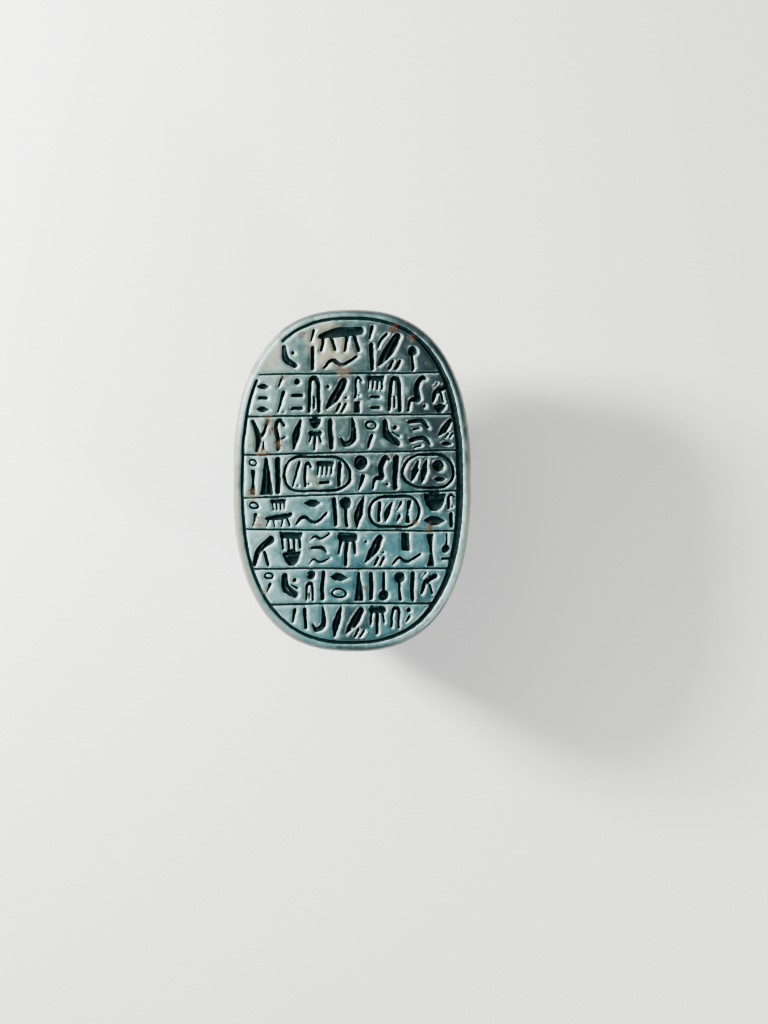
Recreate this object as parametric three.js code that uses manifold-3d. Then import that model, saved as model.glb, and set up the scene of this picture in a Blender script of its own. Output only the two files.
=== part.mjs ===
// A scarab amulet of glazed steatite, carved in one piece: a beetle on an oval plinth whose
// underside carries eight rows of shallow strokes. It lies on its back, so the strokes face up.
// Millimetres, +Z up. +Y runs towards the beetle's head and the top row, +X to a reader's right.
import * as THREE from 'three';
import { mergeVertices } from 'three/addons/utils/BufferGeometryUtils.js';
import Module from 'manifold-3d';

// ---- driving dimensions -------------------------------------------------------------------

const LENGTH = 80;
const WIDTH = 55.6;
const HEIGHT = 33;

const PLINTH = 5.2;          // thickness of the oval base
const OVAL_POWER = 2.5;      // 2 is an ellipse, more is squarer
const OVAL_STEPS = 60;
const EDGE_ROUND = 1.1;      // rounding of the plinth's two rims

const BORDER_INSET = 2.2;    // middle of the border groove, in from the rim
const BORDER_WIDTH = 0.9;
const BORDER_SWELL = 0.9;    // how much wider the groove is cut on the reader's right
const BORDER_DEPTH = 0.7;
const BORDER_FROM = 147;     // degrees round the oval between which the groove survives
const BORDER_TO = 484;
const LINE_WIDTH = 0.6;
const LINE_DEPTH = 0.6;
const STROKE_DEPTH = 0.85;
const ROW_MARGIN = 0.6;      // clear ground between a stroke and the line above or below it
const END_MARGIN = 1.3;      // clear ground between the outermost mark and the border
const STACK_GAP = 0.55;      // between marks that stand one above the other

// Heights of the seven ruled lines where they meet the border, left end and right end.
const LINES = [
  [24.7, 25.2],
  [14.9, 15.5],
  [5.9, 7.1],
  [-4.1, -2.3],
  [-11.4, -11.8],
  [-20.6, -20.5],
  [-28.9, -28.6],
];

// The two domes of the back. foot is the height of their widest line, top that of their crest,
// drop how far they round in below the foot. plan and side square their outlines, and lean
// tips the crest towards the head (or away from it).
const WING = {
  y: -11, halfWidth: 25.2, halfLength: 26.3,
  foot: 12.4, top: 32.5, drop: 5, plan: 2.35, side: 2.3, lean: 0.24,
};
const THORAX = {
  y: 12.8, halfWidth: 23.6, halfLength: 13.2,
  foot: 12.6, top: 29.2, drop: 5, plan: 2.7, side: 2.3, lean: -0.16,
};
const BELLY = { halfWidth: 23, halfLength: 36, top: 14 };
const GROOVE = 0.65;         // half width of the lines cut in the back
const CHIP = { angle: 50, depth: 0.9, length: 15, tilt: 15 };

// ---- small helpers ------------------------------------------------------------------------

const wasm = await Module();
wasm.setup();

const degrees = THREE.MathUtils.degToRad;
const { lerp, clamp } = THREE.MathUtils;

// The closed mesh of a geometry as a solid that can be joined and cut.
function solid(geometry) {
  const bare = new THREE.BufferGeometry();
  const loose = geometry.index ? geometry.toNonIndexed() : geometry;
  bare.setAttribute('position', loose.getAttribute('position'));
  const merged = mergeVertices(bare, 1e-4);
  const vertProperties = merged.attributes.position.array;
  const triVerts = new Uint32Array(merged.index.array);
  return new wasm.Manifold(new wasm.Mesh({ numProp: 3, vertProperties, triVerts }));
}

function geometryOf(manifold) {
  const { vertProperties, triVerts } = manifold.getMesh();
  const geometry = new THREE.BufferGeometry();
  geometry.setAttribute('position', new THREE.BufferAttribute(vertProperties, 3));
  geometry.setIndex(new THREE.BufferAttribute(triVerts, 1));
  const flat = geometry.toNonIndexed();
  flat.computeVertexNormals();
  return flat;
}

const join = (solids) => solids.reduce((all, next) => all.add(next));

// A solid and its twin on the beetle's other side.
const bothSides = (one) => [one, one.mirror([1, 0, 0])];

const signedPower = (value, power) => Math.sign(value) * Math.abs(value) ** power;

// Moves every vertex of a geometry to where place(x, y, z) says.
function reshape(geometry, place) {
  const position = geometry.getAttribute('position');
  for (let i = 0; i < position.count; i++) {
    position.setXYZ(i, ...place(position.getX(i), position.getY(i), position.getZ(i)));
  }
  return geometry;
}

// ---- the oval plinth ----------------------------------------------------------------------

function ovalPoint(angle, inset = 0) {
  return new THREE.Vector2(
    (WIDTH / 2 - inset) * signedPower(Math.cos(angle), 2 / OVAL_POWER),
    (LENGTH / 2 - inset) * signedPower(Math.sin(angle), 2 / OVAL_POWER),
  );
}

// Half of an oval's extent across the line through `at`, for an oval cut in by `inset`.
function reach(at, along, across, inset) {
  const share = Math.min(1, Math.abs(at) / (along / 2 - inset));
  return (across / 2 - inset) * (1 - share ** OVAL_POWER) ** (1 / OVAL_POWER);
}
const reachAcross = (y, inset) => reach(y, LENGTH, WIDTH, inset);
const reachUp = (x, inset) => reach(x, WIDTH, LENGTH, inset);

function ovalLoop(steps) {
  return Array.from({ length: steps }, (_, i) => ovalPoint((i / steps) * 2 * Math.PI));
}

function plinth() {
  const geometry = new THREE.ExtrudeGeometry(new THREE.Shape(ovalLoop(OVAL_STEPS)), {
    depth: PLINTH - 2 * EDGE_ROUND,
    bevelThickness: EDGE_ROUND,
    bevelSize: EDGE_ROUND,
    bevelOffset: -EDGE_ROUND,
    bevelSegments: 2,
  });
  return solid(geometry.translate(0, 0, EDGE_ROUND));
}

// A shallow chip off the rim, above and to the left of the first row.
function chip() {
  const angle = degrees(CHIP.angle);
  const at = ovalPoint(angle);
  const outward = new THREE.Vector2(
    Math.cos(angle) ** (2 - 2 / OVAL_POWER) / WIDTH,
    Math.sin(angle) ** (2 - 2 / OVAL_POWER) / LENGTH,
  ).normalize();
  const block = new THREE.BoxGeometry(CHIP.length, 6, 3 * PLINTH).translate(0, 3, 0);
  block.rotateX(-degrees(CHIP.tilt)).rotateZ(outward.angle() - Math.PI / 2);
  const inner = at.addScaledVector(outward, -CHIP.depth);
  return solid(block.translate(inner.x, inner.y, 0));
}

// ---- the beetle, back up over the plinth --------------------------------------------------

const UPPER_SHARE = 0.78;    // of a dome's rings that lie above its foot

// A rounded dome: a sphere pulled out to a squarish oval in plan and in section.
function dome(shape, around, rings) {
  const sphere = new THREE.SphereGeometry(1, around, rings).rotateX(Math.PI / 2);
  return solid(reshape(sphere, (sx, sy, sz) => {
    const turn = Math.atan2(sy, sx);
    const down = Math.acos(clamp(sz, -1, 1)) / Math.PI;
    const upper = down <= UPPER_SHARE;
    const rise = upper ? 1 - down / UPPER_SHARE : (UPPER_SHARE - down) / (1 - UPPER_SHARE);
    const spread = Math.cos((rise * Math.PI) / 2) ** (2 / shape.side);
    const lift = signedPower(Math.sin((rise * Math.PI) / 2), 2 / shape.side);
    const x = shape.halfWidth * spread * signedPower(Math.cos(turn), 2 / shape.plan);
    const y = shape.halfLength * spread * signedPower(Math.sin(turn), 2 / shape.plan);
    const height = upper ? shape.top - shape.foot + shape.lean * y : shape.drop;
    return [x, shape.y + y, shape.foot + height * lift];
  }));
}

// A point on the skin of that dome.
function onDome(shape, x, y) {
  const { plan, side } = shape;
  const along = y - shape.y;
  const across = Math.abs(x / shape.halfWidth) ** plan;
  const out = (across + Math.abs(along / shape.halfLength) ** plan) ** (1 / plan);
  const lift = Math.max(0, 1 - out ** side) ** (1 / side);
  return new THREE.Vector3(x, y, shape.foot + (shape.top - shape.foot + shape.lean * along) * lift);
}

// The core between the plinth and the back, which the legs stand out from.
function belly() {
  const loop = ovalLoop(28).map(({ x, y }) => new THREE.Vector2(
    (x * BELLY.halfWidth) / (WIDTH / 2),
    (y * BELLY.halfLength) / (LENGTH / 2) - 0.5,
  ));
  const depth = BELLY.top - PLINTH / 2;
  const wall = new THREE.ExtrudeGeometry(new THREE.Shape(loop), { depth, bevelEnabled: false });
  return solid(wall.translate(0, 0, PLINTH / 2));
}

// Half of the outline of the head and its toothed front plate, from the middle of the neck.
const HEAD_OUTLINE = [
  [0, 20], [12.6, 20], [12.8, 27], [11.4, 31], [9.2, 32.4], [8.9, 34.6], [7.2, 36.2],
  [6.1, 35], [4.4, 37.2], [2.4, 37.5], [1.2, 36], [0, 36],
];
const HEAD_TOP = 17;         // height of the head at the neck
const HEAD_TIP = 8.6;        // and at the teeth

function head() {
  const right = HEAD_OUTLINE.map(([x, y]) => new THREE.Vector2(x, y));
  const left = HEAD_OUTLINE.slice(1, -1).reverse().map(([x, y]) => new THREE.Vector2(-x, y));
  const plate = new THREE.ExtrudeGeometry(new THREE.Shape([...right, ...left]), {
    depth: 0.8,
    bevelThickness: 0.2,
    bevelSize: 0.6,
    bevelOffset: -0.6,
    bevelSegments: 1,
  });
  const back = HEAD_OUTLINE[1][1];
  const front = HEAD_OUTLINE.at(-3)[1];
  return solid(reshape(plate, (x, y, z) => {
    const roof = lerp(HEAD_TOP, HEAD_TIP, (y - back) / (front - back)) - 0.014 * x ** 2;
    return [x, y, lerp(PLINTH - 1, roof, clamp(z, 0, 1))];
  }));
}

function eye() {
  const ball = new THREE.SphereGeometry(1, 10, 6).rotateX(Math.PI / 2);
  return solid(ball.scale(2.3, 3.1, 2.6).translate(11.4, 26.6, 12.8));
}

// Each leg is a path from the body to the toe, thick at the thigh and thin at the toe.
const LEGS = [
  {
    thigh: 2.6,
    toe: 1.4,
    path: [[14, 19, 10], [20.8, 20.6, 10.4], [21, 24.8, 9.2], [18.2, 29.6, 7.9], [13, 34.2, 6.8]],
  },
  {
    thigh: 2.6,
    toe: 1.3,
    path: [[18, 9, 11], [23.8, 5.5, 10.2], [25, -0.5, 8.6], [24.9, -6.5, 7.3], [24, -12, 6.5]],
  },
  {
    thigh: 2.8,
    toe: 1.4,
    path: [[18, -6, 11], [23.8, -12, 10], [23.3, -19, 8.6], [19.6, -27.5, 7.4], [12.5, -35.2, 6.6]],
  },
];
const LEG_STEPS = 7;
const LEG_SIDES = 7;

function leg({ path, thigh, toe }) {
  const curve = new THREE.CatmullRomCurve3(path.map((p) => new THREE.Vector3(...p)));
  const section = new THREE.Shape(Array.from({ length: LEG_SIDES }, (_, i) => {
    const angle = ((i + 0.5) / LEG_SIDES) * 2 * Math.PI;
    return new THREE.Vector2(Math.cos(angle), Math.sin(angle));
  }));
  const tube = new THREE.ExtrudeGeometry(section, { steps: LEG_STEPS, extrudePath: curve });
  const rings = curve.getSpacedPoints(LEG_STEPS);
  return solid(reshape(tube, (x, y, z) => {
    const at = new THREE.Vector3(x, y, z);
    const distances = rings.map((p) => p.distanceTo(at));
    const step = distances.indexOf(Math.min(...distances));
    const radius = lerp(thigh, toe, step / LEG_STEPS);
    return at.sub(rings[step]).multiplyScalar(radius).add(rings[step]).toArray();
  }));
}

// Three teeth on the outside of each fore shin.
function shinTeeth() {
  return [0, 1, 2].map((i) => {
    const cone = new THREE.ConeGeometry(1, 3, 5).rotateZ(-Math.PI / 2).rotateZ(0.6);
    return solid(cone.translate(21 - 2.45 * i, 26.9 + 2.6 * i, 8.4 - 0.6 * i));
  });
}

// A line cut in the back: a diamond section swept along its path.
function lineInBack(path, steps) {
  const section = new THREE.Shape([[1, 0], [0, 1], [-1, 0], [0, -1]].map(([x, y]) => (
    new THREE.Vector2(x * GROOVE, y * GROOVE))));
  const extrudePath = new THREE.CatmullRomCurve3(path);
  return solid(new THREE.ExtrudeGeometry(section, { steps, extrudePath }));
}

function backLines() {
  const seam = [];
  for (let y = THORAX.y - 2; y > WING.y - WING.halfLength + 1; y -= 3.6) {
    seam.push(onDome(WING, 0, y));
  }
  const margin = [6, 0, -8, -16, -24, -31].map((y) => {
    const along = Math.abs((y - WING.y) / WING.halfLength);
    return onDome(WING, WING.halfWidth * 0.955 * (1 - along ** WING.plan) ** (1 / WING.plan), y);
  });
  const notch = [[22.6, 0.5], [17.4, -1.2], [22.8, -5.4]].map(([x, y]) => onDome(WING, x, y));
  const collar = [0.6, 7, 13, 18, 21].map((x) => onDome(THORAX, x, 24.2 - 0.008 * x ** 2.2));
  return [
    lineInBack(seam, 11),
    ...bothSides(lineInBack(margin, 9)),
    ...bothSides(lineInBack(notch, 4)),
    ...bothSides(lineInBack(collar, 6)),
  ];
}

function beetle() {
  const parts = [
    dome(WING, 32, 14),
    dome(THORAX, 28, 11),
    belly(),
    head(),
    ...[eye(), ...LEGS.map(leg), ...shinTeeth()].flatMap(bothSides),
  ];
  return join(parts).subtract(join(backLines()));
}

// The worn flat on the crest of the back that the amulet lies on.
function restingCut() {
  const slab = new THREE.BoxGeometry(WIDTH, LENGTH, 4);
  return solid(slab.translate(0, 0, HEIGHT + 2));
}

// ---- the strokes --------------------------------------------------------------------------

// Every mark has the height and width of the cell it is drawn for, then its strokes. A stroke
// is a row of [x, share of the height, half thickness], and a single point is a round dimple.
// A row of [x, share of the height] is the outline of a patch.
const MARKS = {
  bar: [8, 1.4, [[0.7, 0, 0.6], [0.7, 1, 0.7]]],
  spindle: [8, 2.7, [[0.6, 0, 0.35], [1.1, 0.45, 1], [2.2, 1, 0.35]]],
  spike: [8, 2.7, [[0, 0], [2.7, 0], [1.7, 1], [1.1, 1]]],
  slant: [8, 2.8, [[0.5, 0, 0.4], [2.3, 1, 0.55]]],
  leaner: [8, 5.4,
    [[0.4, 0.1, 0.3], [2.2, 0.42, 1.1], [4.1, 0.95, 0.85]],
    [[2.5, 0, 0.34], [3.4, 0.22, 0.4]],
    [[3.9, 0, 0.34], [4.8, 0.22, 0.4]]],
  bough: [8, 5.2,
    [[0.6, 0, 0.45], [1.7, 0.5, 0.8], [4.3, 0.88, 1]],
    [[3, 0.42, 0.4], [3.8, 0, 0.36]]],
  crouch: [8, 5, [[0.9, 0.95, 0.75], [1.4, 0.42, 1.1], [3.8, 0.12, 0.9]], [[3.5, 0.72, 0.62]]],
  fork: [8, 5, [[1.9, 0, 0.5], [2.2, 0.45, 0.8], [0.8, 1, 0.5]], [[3.1, 0.5, 0.45], [4.5, 1, 0.5]]],
  sickle: [8, 4.8, [[0.4, 0.34, 0.3], [1.7, 0.06, 0.7], [3.7, 0.3, 0.85], [3.6, 1, 0.35]]],
  bench: [5, 9.4,
    [[0.6, 0.6, 0.5], [4.4, 0.9, 1], [8.6, 1, 0.8]],
    ...[[1.5, 0.9], [2.8, 3.6], [6.2, 5.6], [7.4, 8.4]].map(([x, foot]) => (
      [[x, 0.7, 0.4], [foot, 0, 0.35]]))],
  tray: [7, 4.6,
    [[1, 1, 0.95], [3.6, 1, 0.95]],
    [[1, 0.8, 0.4], [0.5, 0.4, 0.32]],
    [[3.6, 0.8, 0.4], [4.1, 0.4, 0.32]],
    [[2.3, 0.85, 0.5], [2.1, 0, 0.45]]],
  step: [8, 4.6, [[0.4, 0, 0.32], [0.9, 0.3, 0.45], [2.6, 0.36, 0.75], [2.4, 0.68, 0.75],
    [3.4, 1, 0.6], [4.3, 0.92, 0.3]]],
  hook: [8, 2.9, [[0.6, 0, 0.5], [0.6, 0.8, 0.58], [1.5, 1, 0.52], [2.5, 0.8, 0.36]]],
  arch: [8, 2.9, [[0.4, 0, 0.42], [0.6, 0.88, 0.5], [1.45, 1, 0.5], [2.3, 0.88, 0.5], [2.5, 0, 0.42]]],
  club: [8, 2, [[0.1, 0], [1.9, 0], [1.3, 0.5], [1.8, 1], [0.2, 1], [0.6, 0.5]]],
  drop: [7, 2.6, [[1.3, 0, 1.25]], [[1.3, 0.25, 0.42], [1.3, 1, 0.42]]],
  poppy: [7, 3, [[1.5, 1, 1.4]], [[1.5, 0.7, 0.42], [1.7, 0, 0.5]]],
  leaves: [6, 4.7,
    ...[0, 2.3].map((x) => [[x + 0.5, 0, 0.3], [x + 1.2, 0.5, 0.85], [x + 2, 1, 0.3]])],
  rake: [3.8, 5,
    [[0, 1], [0.3, 0.65], [4.7, 0.65], [5, 1]],
    ...[0.7, 1.9, 3.1, 4.3].map((x) => [[x, 0.75, 0.32], [x, 0, 0.3]])],
  wave: [3.4, 7.2, [[0.4, 0.1, 0.3], [2, 0.7, 0.42], [4, 0.3, 0.42], [6.8, 1, 0.32]]],
  beam: [3.4, 5.6, [[0.6, 0.7, 0.55], [3.6, 0.8, 0.62], [5.1, 0.2, 0.3]]],
  dash: [2.5, 3.4, [[0.6, 0.5, 0.48], [2.8, 0.5, 0.52]]],
  lens: [2.5, 3.8, [[0, 0.5], [1.3, 0.2], [2.5, 0.2], [3.8, 0.5], [2.5, 0.8], [1.3, 0.8]]],
  pip: [3, 2, [[1, 0.5, 0.85]]],
  disc: [3.8, 3.6, [[1.8, 0.5, 1.7]]],
  bowl: [3, 4, [[0, 1], [0.6, 0.35], [1.5, 0], [2.5, 0], [3.4, 0.35], [4, 1]]],
  block: [4, 2.2, [[0.1, 0], [2.1, 0], [2.1, 1], [0.1, 1]]],
  comma: [4, 1.8, [[0.4, 0, 0.3], [1.2, 1, 0.55]]],
  hoop: [3.2, 3.2],
};
const HOOP = { halfWidth: 1.25, halfHeight: 0.9, line: 0.3 };
const STRETCH = [0.75, 1.3];       // how far a mark may be shrunk or grown sideways
const BLUNT = 0.45;                // strokes thinner than this end square, others in a point

// Columns from left to right. "a/b" is a above b, and a list in a row is ringed by a long loop.
const ROWS = [
  ['crouch', 'comma/bar', 'bench/wave', 'comma/bar', 'leaner', 'poppy'],
  ['lens/dash/lens', 'comma/slant', 'pip/dash/dash', 'arch', 'leaner', 'hook/block',
    'rake/dash/dash', 'arch', 'step', 'bough/bowl'],
  ['fork', 'hook', 'spindle', 'bowl/tray', 'bar', 'sickle', 'hoop/comma', 'crouch',
    'beam/beam', 'leaner/lens'],
  ['hoop/club', 'spike', 'bar', ['slant', 'hook', 'rake/dash', 'bar'], 'disc/comma', 'step', 'bar',
    ['leaves', 'disc/lens']],
  ['hoop/comma', 'rake/bench', 'lens/wave', 'bar', 'poppy', 'spindle',
    ['bar', 'spindle', 'comma/comma', 'club'], 'bowl/lens', 'hook/bar'],
  ['bough', 'rake/bowl', 'wave/beam/wave', 'tray', 'leaner', 'block/wave', 'club', 'drop/dash'],
  ['hoop/comma', 'crouch', 'disc/arch', 'bar', 'lens/hoop', 'spike', 'bar', 'drop', 'poppy',
    'bar', 'bough'],
  ['comma', 'bar', 'sickle', 'spindle', 'leaner', 'tray', 'arch', 'pip/comma'],
];

const FRAME_PAD = 1;         // ground between a long loop and the marks in it
const FRAME_LINE = 0.4;      // half the width of a loop's line
const FRAME_GAP = 0.7;       // between the marks in a loop
const ROW_SPREAD = 0.4;      // how far into a row, from its longer side, its length is measured
const END_ROOM = 0.75;       // how far into the outermost mark its height is measured

const arc = (x, y, rx, ry, from, to, thickness, steps) => Array.from({ length: steps + 1 }, (_, i) => {
  const angle = lerp(from, to, i / steps);
  return [x + rx * Math.cos(angle), y + ry * Math.sin(angle), thickness];
});

const moved = ({ kind, points }, dx, dy) => (
  { kind, points: points.map(([x, y, thickness]) => [x + dx, y + dy, thickness]) });

// A mark fitted to a cell: it is stretched sideways in the same measure as its height.
function mark(name, height) {
  const [nominal, width, ...drawn] = MARKS[name];
  const stretch = clamp(height / nominal, ...STRETCH);
  const strokes = drawn.map((points) => {
    const kinds = { 1: 'dimple', 2: 'patch', 3: 'bar' };
    const kind = kinds[points.length === 1 ? 1 : points[0].length];
    return {
      kind,
      points: points.map(([x, share, thickness = 0]) => {
        const half = Math.min(thickness * stretch, height / 2);
        return [x * stretch, lerp(half, height - half, share), half];
      }),
    };
  });
  if (name === 'hoop') {
    const tall = Math.min(HOOP.halfHeight * stretch, height / 2 - HOOP.line);
    const middle = [(width * stretch) / 2, height / 2];
    strokes.push({
      kind: 'ring',
      points: arc(...middle, HOOP.halfWidth * stretch, tall, 0, 1.8 * Math.PI, HOOP.line, 9),
    });
  }
  return { width: width * stretch, strokes };
}

// One column: its marks share out the height, and each is centred on the widest.
function column(names, height) {
  const parts = names.split('/');
  const weights = parts.map((name) => MARKS[name][0]);
  const free = height - STACK_GAP * (parts.length - 1);
  const total = weights.reduce((sum, weight) => sum + weight, 0);
  const marks = parts.map((name, i) => mark(name, (free * weights[i]) / total));
  const width = Math.max(...marks.map((each) => each.width));
  let top = height;
  const strokes = marks.flatMap((each, i) => {
    const low = top - (free * weights[i]) / total;
    top = low - STACK_GAP;
    return each.strokes.map((stroke) => moved(stroke, (width - each.width) / 2, low));
  });
  return { width, strokes };
}

// A long loop round several columns, with straight sides and round ends.
function framed(columns, height) {
  const pad = FRAME_PAD + FRAME_LINE;
  const strokes = [];
  let x = pad + 0.9;
  for (const names of columns) {
    const made = column(names, height - 2 * pad);
    strokes.push(...made.strokes.map((stroke) => moved(stroke, x, pad)));
    x += made.width + FRAME_GAP;
  }
  const width = x - FRAME_GAP + pad + 0.9;
  const radius = height / 2 - FRAME_LINE;
  const inset = height / 2;
  const right = arc(width - inset, inset, radius, radius, -Math.PI / 2, Math.PI / 2, FRAME_LINE, 6);
  const left = arc(inset, inset, radius, radius, Math.PI / 2, 1.5 * Math.PI, FRAME_LINE, 6);
  return { width, strokes: [{ kind: 'ring', points: [...right, ...left] }, ...strokes] };
}

const cell = (entry, height) => (Array.isArray(entry) ? framed(entry, height) : column(entry, height));

// The height of ruled line i at x. Beyond the first and last line lies the border.
function lineHeight(i, x) {
  if (i < 0) return LENGTH / 2;
  if (i >= LINES.length) return -LENGTH / 2;
  return lerp(...LINES[i], x / WIDTH + 0.5);
}

// The strokes of one row, spread evenly between the border's two sides.
function rowStrokes(entries, row) {
  const inset = BORDER_INSET + BORDER_WIDTH / 2 + ROW_MARGIN;
  const span = (from, to) => {
    const ends = [Math.abs(from), Math.abs(to)];
    const limit = reachUp(lerp(Math.min(...ends), Math.max(...ends), END_ROOM), inset);
    const middle = (from + to) / 2;
    return [
      Math.max(lineHeight(row, middle) + ROW_MARGIN, -limit),
      Math.min(lineHeight(row - 1, middle) - ROW_MARGIN, limit),
    ];
  };
  const [bottom, top] = span(0, 0);
  const height = top - bottom;
  const above = Math.abs(top) > Math.abs(bottom);
  const outer = lerp(above ? bottom : top, above ? top : bottom, ROW_SPREAD);
  const half = reachAcross(outer, BORDER_INSET + END_MARGIN);
  const widths = entries.map((entry) => cell(entry, height).width);
  const gap = (2 * half - widths.reduce((sum, width) => sum + width, 0)) / (entries.length - 1);
  let x = -half;
  return entries.flatMap((entry, i) => {
    const [low, high] = span(x, x + widths[i]);
    const placed = cell(entry, high - low).strokes.map((stroke) => moved(stroke, x, low));
    x += widths[i] + gap;
    return placed;
  });
}

// The two sides of a bar or ring.
function sidesOf({ kind, points }) {
  const last = points.length - 1;
  const at = (i) => points[kind === 'ring' ? (i + points.length) % points.length : clamp(i, 0, last)];
  const offset = (side) => points.map(([x, y, thickness], i) => {
    const [ax, ay] = at(i - 1);
    const [bx, by] = at(i + 1);
    const across = new THREE.Vector2(ay - by, bx - ax).setLength(side * thickness);
    return across.add(new THREE.Vector2(x, y));
  });
  return [offset(1), offset(-1)];
}

// The end of a bar: a blunt point, or nothing where the bar is thin and ends square.
function tip([x, y, thickness], [fromX, fromY]) {
  if (thickness < BLUNT) return [];
  const out = new THREE.Vector2(x - fromX, y - fromY).setLength(thickness * 0.8);
  return [out.add(new THREE.Vector2(x, y))];
}

function strokeShape({ kind, points }) {
  if (kind === 'patch') return new THREE.Shape(points.map(([x, y]) => new THREE.Vector2(x, y)));
  if (kind === 'dimple') {
    const [[x, y, radius]] = points;
    const steps = radius > 1.2 ? 10 : 8;
    const round = arc(x, y, radius, radius, 0, 2 * Math.PI * (1 - 1 / steps), 0, steps - 1);
    return new THREE.Shape(round.map(([px, py]) => new THREE.Vector2(px, py)));
  }
  const [left, right] = sidesOf({ kind, points });
  if (kind === 'ring') {
    const shape = new THREE.Shape(right);
    shape.holes.push(new THREE.Path(left.reverse()));
    return shape;
  }
  const start = tip(points[0], points[1]);
  const end = tip(points.at(-1), points.at(-2));
  return new THREE.Shape([...start, ...right, ...end, ...left.reverse()]);
}

const AIR = 1;               // how far a cutter stands out of the face it cuts

// A cutter for the plinth's underside, whose strokes are read from below: hence the half turn.
function cutter(shape, depth) {
  const geometry = new THREE.ExtrudeGeometry(shape, { depth: depth + AIR, bevelEnabled: false });
  return solid(geometry.translate(0, 0, -depth).rotateY(Math.PI));
}

// The border groove. It has worn away beside the chip.
function borderCutter() {
  const steps = Math.round((OVAL_STEPS * (BORDER_TO - BORDER_FROM)) / 360);
  const edge = (share) => Array.from({ length: steps + 1 }, (_, i) => {
    const angle = degrees(lerp(BORDER_FROM, BORDER_TO, i / steps));
    const swell = BORDER_SWELL * Math.max(0, Math.cos(angle)) ** 2;
    return ovalPoint(angle, BORDER_INSET - BORDER_WIDTH / 2 + share * (BORDER_WIDTH + swell));
  });
  return cutter(new THREE.Shape([...edge(0), ...edge(1).reverse()]), BORDER_DEPTH);
}

function lineCutters() {
  const half = LINE_WIDTH / 2;
  return LINES.map(([left, right]) => {
    const from = -reachAcross(left, BORDER_INSET);
    const to = reachAcross(right, BORDER_INSET);
    const corners = [[from, left - half], [to, right - half], [to, right + half], [from, left + half]];
    return cutter(new THREE.Shape(corners.map(([x, y]) => new THREE.Vector2(x, y))), LINE_DEPTH);
  });
}

function strokeCutters() {
  return ROWS.flatMap(rowStrokes).map((stroke) => cutter(strokeShape(stroke), STROKE_DEPTH));
}

// ---- the whole ----------------------------------------------------------------------------

const cuts = [restingCut(), chip(), borderCutter(), ...lineCutters(), ...strokeCutters()];
const carved = join([plinth(), beetle()]).subtract(join(cuts));

const steatite = new THREE.MeshStandardMaterial({ color: 0x8fb0ae, roughness: 0.5, metalness: 0 });
const scarab = new THREE.Mesh(geometryOf(carved), steatite);
scarab.name = 'scarab';

// The beetle is modelled back up, and lies turned over on the flat of its back.
const lying = new THREE.Group();
lying.rotation.y = Math.PI;
lying.position.z = HEIGHT;
lying.add(scarab);

const amulet = new THREE.Group();
amulet.add(lying);

export default amulet;
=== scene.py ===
import math

import bmesh
import bpy
import numpy as np
from mathutils import Matrix, Vector


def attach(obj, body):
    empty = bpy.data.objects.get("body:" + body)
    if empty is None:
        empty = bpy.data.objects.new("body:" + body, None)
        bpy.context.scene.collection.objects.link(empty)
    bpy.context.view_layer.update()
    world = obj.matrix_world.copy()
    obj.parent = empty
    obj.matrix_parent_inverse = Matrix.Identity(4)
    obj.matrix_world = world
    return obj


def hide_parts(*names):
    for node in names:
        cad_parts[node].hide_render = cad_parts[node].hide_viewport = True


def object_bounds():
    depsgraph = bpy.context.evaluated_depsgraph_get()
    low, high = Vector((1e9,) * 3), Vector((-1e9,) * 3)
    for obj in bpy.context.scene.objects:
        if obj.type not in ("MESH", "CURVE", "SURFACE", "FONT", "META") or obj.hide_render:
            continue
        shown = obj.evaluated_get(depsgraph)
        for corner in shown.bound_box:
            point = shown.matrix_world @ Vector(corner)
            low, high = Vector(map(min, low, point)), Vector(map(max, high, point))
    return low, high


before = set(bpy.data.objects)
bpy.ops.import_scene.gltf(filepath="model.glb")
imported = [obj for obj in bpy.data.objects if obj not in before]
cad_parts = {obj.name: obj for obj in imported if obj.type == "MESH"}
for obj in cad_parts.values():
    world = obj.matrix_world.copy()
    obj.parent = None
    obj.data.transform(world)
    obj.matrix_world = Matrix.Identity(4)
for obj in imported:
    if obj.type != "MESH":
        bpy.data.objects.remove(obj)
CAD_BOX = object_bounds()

bl_info = {
    "name": "Scarab Amulet",
    "version": (1, 0, 0),
    "blender": (4, 5, 0),
    "location": "View3D > Sidebar > Scarab",
    "description": "Carves and glazes an inscribed scarab amulet that lies on its back",
    "category": "Add Mesh",
}

# Shapes are worked out in millimetres and turned to metres once they are finished.
MM = 0.001
CAD_SIZE = CAD_BOX[1] - CAD_BOX[0]


def linear(code):
    """An sRGB hex colour as linear red, green and blue."""
    channels = [int(code[i:i + 2], 16) / 255 for i in (1, 3, 5)]
    return [c / 12.92 if c <= 0.04045 else ((c + 0.055) / 1.055) ** 2.4 for c in channels]


# ---- sizes and colours that a user would change ---------------------------------------------

def size_property(name, description, default_mm):
    return bpy.props.FloatProperty(
        name=name, description=description, default=default_mm * MM, min=0, unit="LENGTH", precision=5)


def colour_property(name, description, code):
    return bpy.props.FloatVectorProperty(
        name=name, description=description, default=linear(code), size=3, min=0, max=1, subtype="COLOR")


class ScarabSizes(bpy.types.PropertyGroup):
    length: size_property("Length", "Length of the oval plinth", CAD_SIZE.y / MM)
    width: size_property("Width", "Width of the oval plinth", CAD_SIZE.x / MM)
    height: size_property("Height", "Height from the flat of the back to the inscribed face", CAD_SIZE.z / MM)
    plinth: size_property("Plinth", "Thickness of the oval plinth", 5.2)
    edge_round: size_property("Edge rounding", "Rounding of the plinth's rims", 1.4)
    stroke_depth: size_property("Stroke depth", "Depth of the inscribed strokes", 0.85)
    line_depth: size_property("Line depth", "Depth of the ruled lines and the border", 0.6)
    grain: size_property("Mesh step", "Distance between the finished surface's points", 0.26)


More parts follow.
